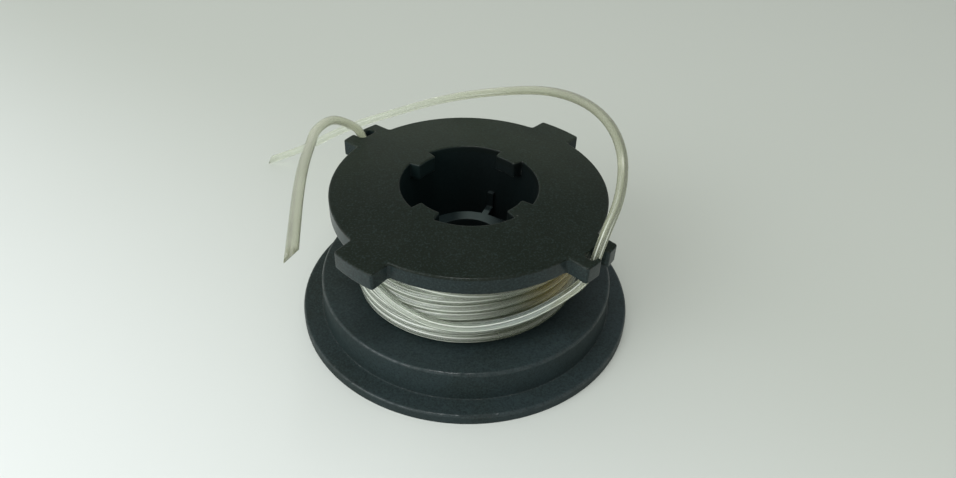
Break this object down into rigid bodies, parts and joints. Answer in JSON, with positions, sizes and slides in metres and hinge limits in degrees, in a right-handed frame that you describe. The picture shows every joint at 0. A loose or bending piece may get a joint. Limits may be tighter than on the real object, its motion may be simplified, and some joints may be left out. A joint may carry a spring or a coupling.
{
  "type": "trimmer line spool",
  "caption": "Moulded spool for a grass trimmer head: stepped lower flange, hub with toothed drive bore, lugged upper flange, wound with nylon line whose free ends leave through slotted lugs.",
  "frame": {"origin": "on the spool's axis, on the plane of the lower flange's rim that it stands on", "axes": "+Z along the spool's axis, up towards the lugged flange and the mouth of the drive bore; one slotted lug points towards +X and -Y, the other towards -X and +Y"},
  "size_m": [0.1162, 0.1346, 0.0708],
  "materials": {
    "spool_plastic": "moulded, fine grain, slightly scuffed",
    "line_nylon": "drawn translucent monofilament"
  },
  "bodies": {
    "root": {"spool_body": "spool_plastic", "line_winding": "line_nylon", "line_tail_right": "line_nylon", "line_tail_left": "line_nylon"}
  },
  "joints": []
}
